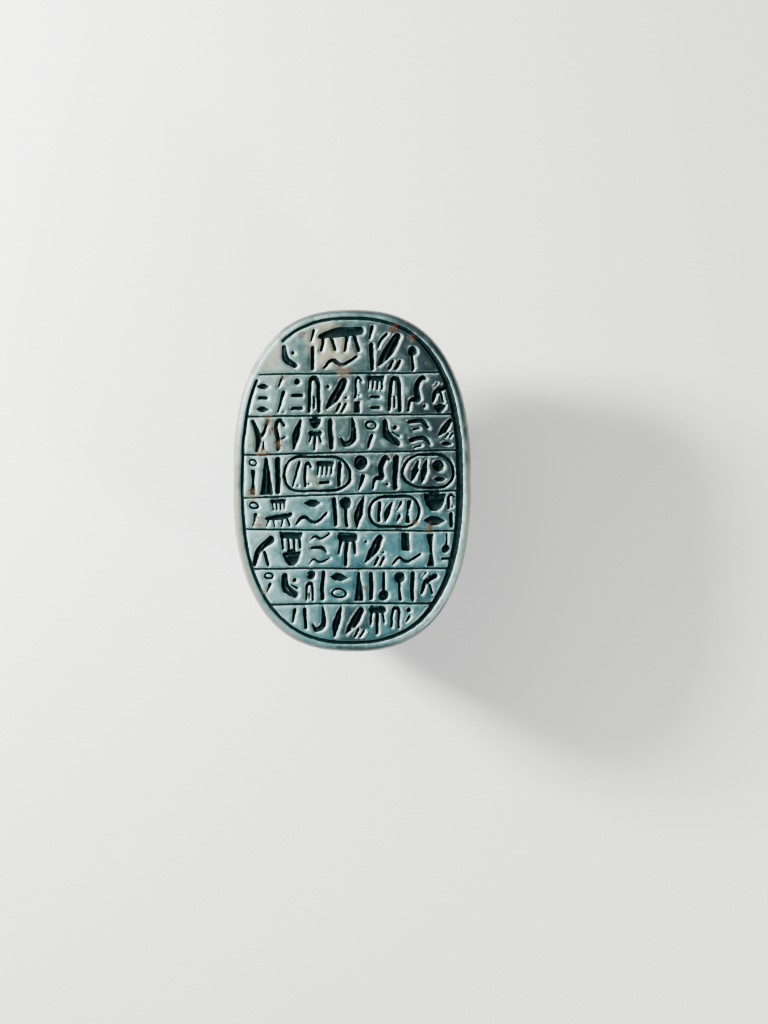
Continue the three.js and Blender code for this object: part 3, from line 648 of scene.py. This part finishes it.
def rough_shape(sizes):
    """The whole form before it is carved, as one closed skin of even small faces."""
    bm = bmesh.new()
    oval_plinth(bm, sizes)
    dome(bm, WING)
    dome(bm, THORAX)
    belly(bm, sizes)
    head(bm, sizes)
    for thigh, toe, path in LEGS:
        for side in (-1, 1):
            limb(bm, path, thigh, toe, side)
    shin_teeth(bm)
    bmesh.ops.recalc_face_normals(bm, faces=bm.faces[:])
    mesh = bpy.data.meshes.new("rough_scarab")
    bm.to_mesh(mesh)
    bm.free()
    rough = linked("rough_scarab", mesh)
    skin = rough.modifiers.new("skin", "REMESH")
    skin.mode = "VOXEL"
    skin.voxel_size = sizes.grain / MM
    return applied(rough)


# ---- carving --------------------------------------------------------------------------------

def read(mesh):
    points = np.empty(len(mesh.vertices) * 3)
    mesh.vertices.foreach_get("co", points)
    return points.reshape(-1, 3)


def write(mesh, points):
    mesh.vertices.foreach_set("co", points.ravel())
    mesh.update()


def normals_of(mesh):
    normals = np.empty(len(mesh.vertices) * 3)
    mesh.vertex_normals.foreach_get("vector", normals)
    return normals.reshape(-1, 3)


def relaxed(mesh, points, rounds, keep=None):
    """Points moved towards the middle of their neighbours, a few times over."""
    edges = np.empty(len(mesh.edges) * 2, int)
    mesh.edges.foreach_get("vertices", edges)
    a, b = edges[0::2], edges[1::2]
    count = np.maximum(np.bincount(edges, minlength=len(points)), 1)[:, None]
    points = points.copy()
    for _ in range(rounds):
        total = np.column_stack([
            np.bincount(a, points[b, k], len(points)) + np.bincount(b, points[a, k], len(points))
            for k in range(3)])
        step = (total / count - points) * 0.6
        if keep is not None:
            step[keep] = 0
        points += step
    return points


def back_lines():
    """Lines cut in the back: path, half width and depth."""
    seam = [dome_point(WING, 0, y) for y in np.arange(11, -36.5, -2)]
    lines = [(seam, 0.7, 0.65)]
    for side in (-1, 1):
        margin = []
        for y in np.linspace(6.5, -32, 24):
            along = abs((y - WING["y"]) / WING["half_length"])
            x = WING["half_width"] * 0.955 * (1 - along ** WING["plan"]) ** (1 / WING["plan"])
            margin.append(dome_point(WING, side * x, y))
        notch = [dome_point(WING, side * x, y) for x, y in curved([(22.6, 0.5), (17.4, -1.2), (22.8, -5.4)])]
        collar = [dome_point(THORAX, side * x, 24.2 - 0.008 * x ** 2.2) for x in np.linspace(0, 21.5, 24)]
        lines += [(margin, 0.65, 0.6), (notch, 0.65, 0.6), (collar, 0.6, 0.55)]
        for thigh, toe, path in LEGS:
            line = curved(path, steps=6)
            for i in range(7, len(line) - 1):
                at = line[i] * (side, 1, 1)
                along = (line[i + 1] - line[i - 1]) * (side, 1, 1)
                out = np.array([side, 0.0, 0.35])
                out -= along * (out @ along) / (along @ along)
                out /= np.linalg.norm(out)
                across = np.cross(along, out)
                across /= np.linalg.norm(across)
                radius = lerp(thigh, toe, i / (len(line) - 1))
                middle = at + out * radius
                lines.append(([middle - across * radius * 0.5 + along * 0.3, middle + across * radius * 0.5],
                              0.24, 0.3))
    plate = [(x, 31.4 - 0.01 * x * x, lerp(HEAD_TOP, HEAD_TIP, 11.3 / 17.5) - HEAD_CROWN * x ** 2)
             for x in np.linspace(-9.5, 9.5, 16)]
    lines.append((plate, 0.5, 0.5))
    return lines


def carve_back(points, normals, sizes):
    """Cuts the lines of the back. Points are lying, so the lines are turned over to meet them."""
    depth = np.zeros(len(points))
    for path, half, deep in back_lines():
        path = np.asarray(path, float) * (-1, 1, -1) + (0, 0, sizes.height / MM)
        low, high = path.min(0) - half - 1, path.max(0) + half + 1
        near = np.flatnonzero(np.all((points > low) & (points < high), axis=1))
        if len(near):
            gap = to_segments(points[near], path, np.zeros(len(path)))
            depth[near] = np.maximum(depth[near], deep * (1 - smooth(0.1, half, gap)))
    return points - normals * depth[:, None]


def clouds(points, table):
    """How strongly a table of round clouds covers each point, their edges torn by noise."""
    torn = 1 + 0.35 * value_noise(points, 3.1, 21) + 0.2 * value_noise(points, 1.3, 22)
    total = np.zeros(len(points))
    for x, y, radius, strength in table:
        gap = np.hypot(points[:, 0] - x, points[:, 1] - y) * torn / radius
        total = np.maximum(total, strength * (1 - smooth(0.2, 1.3, gap)))
    return total


def crust_field(points, height):
    """How much earthy crust lies at each point, and how rusty it is, both from 0 to 1."""
    amount, rust = np.zeros(len(points)), np.zeros(len(points))
    wobble = 0.5 * value_noise(points, 1.4, 5) + 0.5 * value_noise(points, 0.6, 6)
    for x, y, radius, rusty in CRUST:
        gap = np.linalg.norm(points - (x, y, height), axis=1) / radius
        here = np.clip(1.2 - gap + wobble * 0.7, 0, 1)
        rust = np.where(here > amount, rusty, rust)
        amount = np.maximum(amount, here)
    return amount, rust


def wear(at):
    """How far the worn upper left has been rubbed down, from 0 to 1."""
    gap = np.hypot(at[:, 0] - WORN_SPOT[0], (at[:, 1] - WORN_SPOT[1]) * 0.8) / WORN_REACH
    return 1 - smooth(0.35, 1.0, gap + 0.15 * value_noise(at, 2.5, 31))


def rim_inset(at, sizes):
    """Distance in from the outline of the plinth, near enough close to the rim."""
    half = np.array([sizes.width, sizes.length]) / MM / 2
    share = np.sum(np.abs(at / half) ** OVAL_POWER, axis=1) ** (1 / OVAL_POWER)
    return (1 / np.maximum(share, 1e-6) - 1) * np.hypot(at[:, 0], at[:, 1])


def cut_fields(at, sizes):
    """Distances to the marks and to the ruled lines. An unsteady hand makes no two marks alike."""
    hand = np.column_stack([value_noise(at, 1.1, 1), value_noise(at, 1.1, 2)]) * 0.08
    sway = np.column_stack([value_noise(at, 4.3, 7), value_noise(at, 4.3, 8)]) * 0.3
    marks = [stroke for row in range(len(ROWS)) for stroke in row_strokes(sizes, row)]
    ruled = line_strokes(sizes) + [border_stroke(sizes)]
    ragged = 0.05 * value_noise(at, 0.8, 9)
    return (cut_distance(at + hand + sway, marks) - 0.02 + ragged,
            cut_distance(at + hand * 0.5 + sway * 0.3, ruled) + ragged * 0.4)


def carve_face(points, sizes):
    """Cuts the strokes, the ruled lines and the border into the flat of the plinth."""
    height, step = sizes.height / MM, sizes.grain / MM
    inset = rim_inset(points[:, :2], sizes)
    face = np.flatnonzero((inset > 0.9) & (points[:, 2] > height - 1))
    at = points[face, :2]

    def nearest(places):
        return np.minimum(*cut_fields(places, sizes))

    gap = nearest(at)
    probe = 0.05
    lean = np.column_stack([nearest(at + (probe, 0)) - gap, nearest(at + (0, probe)) - gap]) / probe
    for contour in (0.0, -0.3):
        off = gap - contour
        snap = np.abs(off) < 0.45 * step
        at[snap] -= (lean * off[:, None])[snap]
    marks, ruled = cut_fields(at, sizes)
    rough = value_noise(at, 0.7, 3)

    def profile(gap, depth):
        lip = LIP_DEPTH * np.clip(1 - (gap + 0.1) / LIP_WIDTH, 0, 1) ** 2
        return lip + (depth - LIP_DEPTH) * smooth(0.02, -0.3, gap) * (1 + 0.12 * rough)

    rubbed = wear(at)
    filled = 1 - 0.75 * crust_field(points[face], height)[0]
    down = np.maximum(profile(marks, sizes.stroke_depth / MM), profile(ruled, sizes.line_depth / MM))
    swell = 0.12 + 0.07 * value_noise(at, 5, 4) + 0.05 * value_noise(at, 2.1, 10)
    points[face, :2] = at
    points[face, 2] -= np.maximum(down * filled * (1 - 0.8 * rubbed) + swell + 0.3 * rubbed, 0)

    # The band outside the border is rolled over towards the rim.
    band = np.flatnonzero((inset < ROLL_WIDTH) & (points[:, 2] > height - 2.5))
    roll = np.clip(1 - inset[band] / ROLL_WIDTH, 0, 1)
    level = points[band, 2]
    points[band, 2] -= ROLL_DROP * (1 - np.sqrt(1 - roll ** 2)) * smooth(height - 2.5, height - 1.2, level)
    return points


def carved_mesh(sizes):
    """Cuts all carving into the rough shape and thins out the back's faces."""
    height = sizes.height / MM
    mesh = rough_shape(sizes)
    points = relaxed(mesh, read(mesh), 3)
    points = points * (-1, 1, -1) + (0, 0, height)
    write(mesh, points)
    flat = np.array([sizes.width, sizes.length]) / MM / 2 - 1.3
    inner = np.sum(np.abs(points[:, :2] / flat) ** OVAL_POWER, axis=1)
    points[(points[:, 2] > height - 0.5) & (inner < 1), 2] = height
    write(mesh, points)
    normals = normals_of(mesh)
    points = carve_back(points, normals, sizes)
    lumps = 0.06 * value_noise(points, 4.5, 11) + 0.035 * value_noise(points, 1.6, 12)
    lumps[points[:, 2] > height - 0.4] = 0
    points += normals * lumps[:, None]
    points = carve_face(points, sizes)
    points[:, 2] = np.clip(points[:, 2], 0, height)
    write(mesh, points)
    return mesh


def thinned(mesh, sizes, target=196000):
    """The mesh with fewer faces below the plinth's face, so the whole stays under the target."""
    piece = linked("thin_scarab", mesh)
    points = read(mesh)
    group = piece.vertex_groups.new(name="back")
    group.add(np.flatnonzero(points[:, 2] < sizes.height / MM - BACK_BELOW).tolist(), 1.0, "REPLACE")
    faces = sum(len(p.vertices) - 2 for p in mesh.polygons)
    thin = piece.modifiers.new("thin", "DECIMATE")
    thin.vertex_group = group.name
    thin.ratio = min(1.0, target / faces)
    return applied(piece)


def surface_marks(mesh, sizes):
    """Writes what the glaze reads: distance to a cut, how squarely each lip faces the light,
    hollowness, rubbing mixed with painted light and shade on the rim, a painted highlight along the
    rim, clouds and crust.
    """
    height = sizes.height / MM
    points, normals = read(mesh), normals_of(mesh)
    at = points[:, :2]
    gap = np.full(len(at), 9.0)
    near = np.flatnonzero(points[:, 2] > height - 1.5)
    gap[near] = np.minimum(*cut_fields(at[near], sizes))
    # How squarely each lip faces the upper left, where the key light falls from. It sets the painted
    # highlight on the lips and the painted glow beside them.
    probe = 0.1
    faces_light = np.zeros(len(at))
    faces_light[near] = (np.minimum(*cut_fields(at[near] + LIGHT_FROM * probe, sizes)) - gap[near]) / probe
    soft = relaxed(mesh, points, 40)
    hollow = np.sum((soft - points) * normals, axis=1)
    on_face = smooth(height - 3, height - 1.2, points[:, 2])
    hollow *= 1 - 0.7 * on_face
    # The domes are hollow nowhere, so what they have is spread to reach both ends.
    body = points[:, 2] < height - BACK_BELOW
    usual = np.percentile(hollow[body], (2, 50, 97))
    hollow[body] = np.interp(hollow[body], usual, (-0.2, 0, 0.2))
    inset = rim_inset(at, sizes)
    turn = np.arctan2(at[:, 1], at[:, 0])
    # Weights for the sides the lamps fall on: the key at the left and the kicker at the lower right.
    left = np.maximum(np.cos(turn - math.radians(195)), 0) ** 1.5
    right = 0.8 * np.maximum(np.cos(turn - math.radians(345)), 0) ** 3
    side = np.maximum(left, right)
    # The rim is paler at its sides, partly rubbed bare and partly painted light where the lamps fall,
    # darker at its ends as a painted shade, and it gets a painted highlight along the top of its roll.
    rub_and_light = smooth(2.0, 0.8, inset) * (0.1 + 0.9 * side)
    shade = smooth(1.7, 0.5, inset) * (1 - side) ** 2
    rim_glint = np.exp(-((inset - 1.3) / 0.5) ** 2) * np.clip(np.maximum(
        np.cos(turn - math.radians(130)), np.cos(turn - math.radians(325))), 0, 1) ** 5
    amount, rust = crust_field(points, height)
    for name, values in (
        ("cut", gap), ("lip", np.clip(faces_light, 0, 1)), ("rim_glint", rim_glint * on_face), ("hollow", hollow),
        ("rub_and_light", rub_and_light), ("crust", amount), ("rust", rust),
        ("pale", np.maximum(clouds(points, PALE), 0.6 * wear(at)) * on_face),
        # Along the rim's ends, away from the lamps, this adds a painted shade to the deep glaze clouds.
        ("deep", np.maximum(clouds(points, DEEP), shade) * on_face),
    ):
        mesh.attributes.new(name, "FLOAT", "POINT").data.foreach_set("value", values.astype(np.float32))


# ---- materials ------------------------------------------------------------------------------

def add(tree, kind, inputs=None, **settings):
    """Adds a node with its settings. An input is a number, a colour or another node's output."""
    node = tree.nodes.new(kind)
    for key, value in settings.items():
        setattr(node, key, value)
    for key, value in (inputs or {}).items():
        if isinstance(value, bpy.types.NodeSocket):
            tree.links.new(value, node.inputs[key])
        elif hasattr(value, "__len__") and node.inputs[key].type == "RGBA":
            node.inputs[key].default_value = (*value, 1)
        else:
            node.inputs[key].default_value = value
    return node


def blank_material(name):
    """A material and its node tree, which is empty."""
    material = bpy.data.materials.new(name)
    material.use_nodes = True
    material.node_tree.nodes.clear()
    return material, material.node_tree


def glazed_steatite(colours):
    """Steatite, a soft soapstone, carved, glazed blue-green and worn: a satin skin that has gone
    grey in clouds, rubbed to pale on every edge, with dark patina in the cuts and earth on top. Painted
    light is mixed in: highlights on the lips that face the light and along the rim, a paler face
    towards the left, and shade in the hollows and at the rim's ends."""
    material, tree = blank_material("glazed_steatite")
    place = add(tree, "ShaderNodeTexCoord").outputs["Object"]

    def mix(factor, a, b):
        return add(tree, "ShaderNodeMix", {0: factor, 6: a, 7: b}, data_type="RGBA").outputs[2]

    def band(value, start, end, low=0.0, high=1.0):
        return add(tree, "ShaderNodeMapRange", {"Value": value, "From Min": start, "From Max": end,
                                                "To Min": low, "To Max": high},
                   interpolation_type="SMOOTHSTEP").outputs[0]

    def noise(size_mm, detail=4.0, rough=0.55, warp=0.0):
        return add(tree, "ShaderNodeTexNoise", {
            "Vector": place, "Scale": 1 / (size_mm * MM), "Detail": detail, "Roughness": rough,
            "Distortion": warp}).outputs["Fac"]

    def combine(operation, a, b):
        return add(tree, "ShaderNodeMath", {0: a, 1: b}, operation=operation).outputs[0]

    def times(a, b):
        return combine("MULTIPLY", a, b)

    def most(a, b):
        return combine("MAXIMUM", a, b)

    def blend(a, b, share):
        return combine("ADD", a, times(b, share))

    def stored(name):
        return add(tree, "ShaderNodeAttribute", attribute_name=name, attribute_type="GEOMETRY").outputs["Fac"]

    xyz = add(tree, "ShaderNodeSeparateXYZ", {"Vector": place}).outputs

    # Clouds a few millimetres across in the glaze, bluer towards the tail, with a finer mottle. The
    # face is painted paler towards the left, a painted light from the side the key light stands on.
    broad, mottle, grit = noise(8, 5, 0.6, 0.4), noise(2.6, 5, 0.62, 0.3), noise(0.6, 4, 0.6)
    tail = band(xyz["Y"], 0.016, -0.026)
    blue = band(blend(times(tail, 0.8), broad, 0.6), 0.35, 0.95)
    ground = mix(blue, colours.glaze_grey, colours.glaze_blue)
    ground = mix(band(xyz["X"], -0.002, -0.024, 0.0, 0.2), ground, colours.worn)
    ground = mix(band(mottle, 0.5, 0.75, 0.0, 0.2), ground, colours.worn)
    # The deep mask also holds a painted shade along the rim's ends, away from the lamps.
    ground = mix(band(blend(stored("deep"), mottle, -0.6), -0.3, 0.6), ground, colours.glaze_deep)
    ground = mix(band(blend(stored("pale"), mottle, 0.6), 0.45, 1.2), ground, colours.cream)
    ground = mix(band(mottle, 0.48, 0.3, 0.0, 0.5), ground, colours.glaze_deep)

    # Stone shows where the glaze is rubbed through: along the rim and on the beetle's high edges. On the
    # rim it is strongest on the sides the lamps fall on, so there it is partly painted light.
    rim = band(blend(stored("rub_and_light"), mottle, 0.7), 0.55, 1.2, 0.0, 0.9)
    ridge = band(blend(times(stored("hollow"), -5.0), grit, 0.5), 0.75, 1.3, 0.0, 0.8)
    colour = mix(most(rim, ridge), ground, colours.bare)

    # The lips of the cuts are rubbed pale, in a line that comes and goes, and paler still where they
    # face the key light, a painted highlight; beside those lit lips lies a faint painted glow nearly a
    # millimetre wide.
    cut = stored("cut")
    thin = times(band(cut, 0.8, 0.1), band(stored("lip"), 0.1, 1.0, 0.0, 0.2))
    uneven = times(band(noise(1.5, 3, 0.6), 0.36, 0.56, 0.3, 1.0), band(stored("lip"), 0.0, 0.9, 0.12, 1.0))
    # A painted highlight along the top of the rim's roll, on the sides the lamps face.
    rim_glint = times(stored("rim_glint"), band(mottle, 0.35, 0.6, 0.3, 0.75))
    lip = most(times(band(cut, 0.2, 0.06), uneven), rim_glint)
    colour = mix(most(thin, lip), colour, colours.worn)

    # The strokes are filled dark with patina. Every hollow is darkened too, partly by patina and partly
    # as a painted shade in the creases.
    dark = band(blend(cut, grit, 0.1), 0.1, -0.02, 0.0, 0.98)
    hollow_patina_and_shade = band(blend(times(stored("hollow"), 4.0), grit, 0.4), 0.4, 1.0, 0.0, 0.85)
    patina_and_shade = most(dark, hollow_patina_and_shade)
    colour = mix(patina_and_shade, colour, colours.patina)

    # Earth stuck on the face in grains, tan to rust, with a thin stain round it.
    grains = band(noise(0.4, 3, 0.7), 0.36, 0.6)
    stain = band(stored("crust"), 0.0, 0.7, 0.0, 0.3)
    earth = band(times(stored("crust"), blend(0.1, grains, 1.0)), 0.3, 0.65, 0.0, 0.85)
    soil = mix(band(blend(stored("rust"), noise(0.7, 4, 0.75), 1.4), 0.75, 1.5), colours.crust, colours.rust)
    colour = mix(most(stain, earth), colour, soil)

    roughness = blend(band(mottle, 0.3, 0.7, 0.32, 0.46), most(patina_and_shade, earth), 0.3)
    gloss = band(most(patina_and_shade, earth), 0.0, 0.7, 0.5, 0.015)
    pits = band(noise(0.5, 2, 0.5), 0.62, 0.72)
    relief = blend(times(grit, 0.5), earth, 0.8)
    relief = combine("SUBTRACT", relief, times(pits, 0.3))
    relief = blend(relief, band(cut, -0.1, 0.7), 0.6)
    bump = add(tree, "ShaderNodeBump", {"Height": relief, "Strength": 0.7, "Distance": 0.00014})
    shader = add(tree, "ShaderNodeBsdfPrincipled", {"Base Color": colour, "Roughness": roughness, "IOR": 1.5,
                                                    "Specular IOR Level": gloss, "Normal": bump.outputs[0]})
    add(tree, "ShaderNodeOutputMaterial", {"Surface": shader.outputs[0]})
    return material


def matt_board(colours):
    """Plain pale board, matt and a little mottled, for the floor."""
    material, tree = blank_material("matt_board")
    shader = add(tree, "ShaderNodeBsdfPrincipled", {"Base Color": colours.floor, "Roughness": 0.9})
    add(tree, "ShaderNodeOutputMaterial", {"Surface": shader.outputs[0]})
    return material


# ---- operators ------------------------------------------------------------------------------

# The stage's measures, in metres, and the lens in millimetres.
FLOOR_HALF = 1.5
FRAME_HEIGHT = 0.2388
CAMERA_AT = (0.00746, -0.00735)
FOCAL_LENGTH, SENSOR = 100, 36


class SCARAB_OT_carve(bpy.types.Operator):
    """Carve and glaze the scarab amulet"""

    bl_idname = "scarab.carve"
    bl_label = "Carve scarab"

    def execute(self, context):
        sizes, colours = context.scene.scarab_sizes, context.scene.scarab_colours
        mesh = thinned(carved_mesh(sizes), sizes)
        surface_marks(mesh, sizes)
        mesh.name = "carved_scarab"
        mesh.transform(Matrix.Scale(MM, 4))
        mesh.shade_smooth()
        mesh.materials.clear()
        mesh.materials.append(glazed_steatite(colours))
        piece = linked("carved_scarab", mesh)
        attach(piece, "root")
        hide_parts("scarab")
        return {"FINISHED"}


class SCARAB_OT_stage(bpy.types.Operator):
    """Set the pale floor, the soft lights and the camera round the amulet"""

    bl_idname = "scarab.stage"
    bl_label = "Set stage"

    def execute(self, context):
        scene, colours = context.scene, context.scene.scarab_colours
        height = scene.scarab_sizes.height
        bm = bmesh.new()
        bmesh.ops.create_grid(bm, x_segments=1, y_segments=1, size=FLOOR_HALF)
        mesh = bpy.data.meshes.new("floor")
        bm.to_mesh(mesh)
        bm.free()
        mesh.materials.append(matt_board(colours))
        floor = linked("floor", mesh)

        world = bpy.data.worlds.new("soft_room")
        world.use_nodes = True
        room = world.node_tree.nodes["Background"].inputs
        room["Color"].default_value = (0.9, 0.95, 1, 1)
        room["Strength"].default_value = 0.28
        scene.world = world
        target = Vector((0, 0, height))
        for name, at, size, power in (
            ("key", (-0.32, 0.13, 0.18), 0.08, 8.6),
            ("kicker", (0.34, -0.3, 0.22), 0.08, 3.5),
            ("soft", (-0.4, 0.62, 0.7), 0.5, 2.4),
        ):
            light = bpy.data.lights.new(name, "AREA")
            light.size, light.energy = size, power
            lamp = linked(name, light)
            lamp.location = at
            lamp.rotation_euler = (target - Vector(at)).to_track_quat("-Z", "Y").to_euler()

        camera = linked("camera", bpy.data.cameras.new("camera"))
        camera.data.lens, camera.data.sensor_width = FOCAL_LENGTH, SENSOR
        camera.data.clip_start, camera.data.clip_end = 0.01, 10
        distance = FRAME_HEIGHT / 2 / (SENSOR / 2 / FOCAL_LENGTH)
        camera.location = (*CAMERA_AT, height + distance)
        scene.camera = camera
        return {"FINISHED"}


class SCARAB_PT_panel(bpy.types.Panel):
    """Sizes, colours and steps of the scarab amulet"""

    bl_idname = "SCARAB_PT_panel"
    bl_label = "Scarab amulet"
    bl_space_type = "VIEW_3D"
    bl_region_type = "UI"
    bl_category = "Scarab"

    def draw(self, context):
        for group in (context.scene.scarab_sizes, context.scene.scarab_colours):
            box = self.layout.box()
            for name in group.bl_rna.properties.keys():
                if name not in ("rna_type", "name"):
                    box.prop(group, name)
        self.layout.operator(SCARAB_OT_carve.bl_idname)
        self.layout.operator(SCARAB_OT_stage.bl_idname)


CLASSES = (ScarabSizes, GlazeColours, SCARAB_OT_carve, SCARAB_OT_stage, SCARAB_PT_panel)


def register():
    for each in CLASSES:
        bpy.utils.register_class(each)
    bpy.types.Scene.scarab_sizes = bpy.props.PointerProperty(type=ScarabSizes)
    bpy.types.Scene.scarab_colours = bpy.props.PointerProperty(type=GlazeColours)


def unregister():
    del bpy.types.Scene.scarab_colours
    del bpy.types.Scene.scarab_sizes
    for each in reversed(CLASSES):
        bpy.utils.unregister_class(each)


def main():
    register()
    bpy.ops.scarab.carve()
    bpy.ops.scarab.stage()


if __name__ == "__main__":
    main()
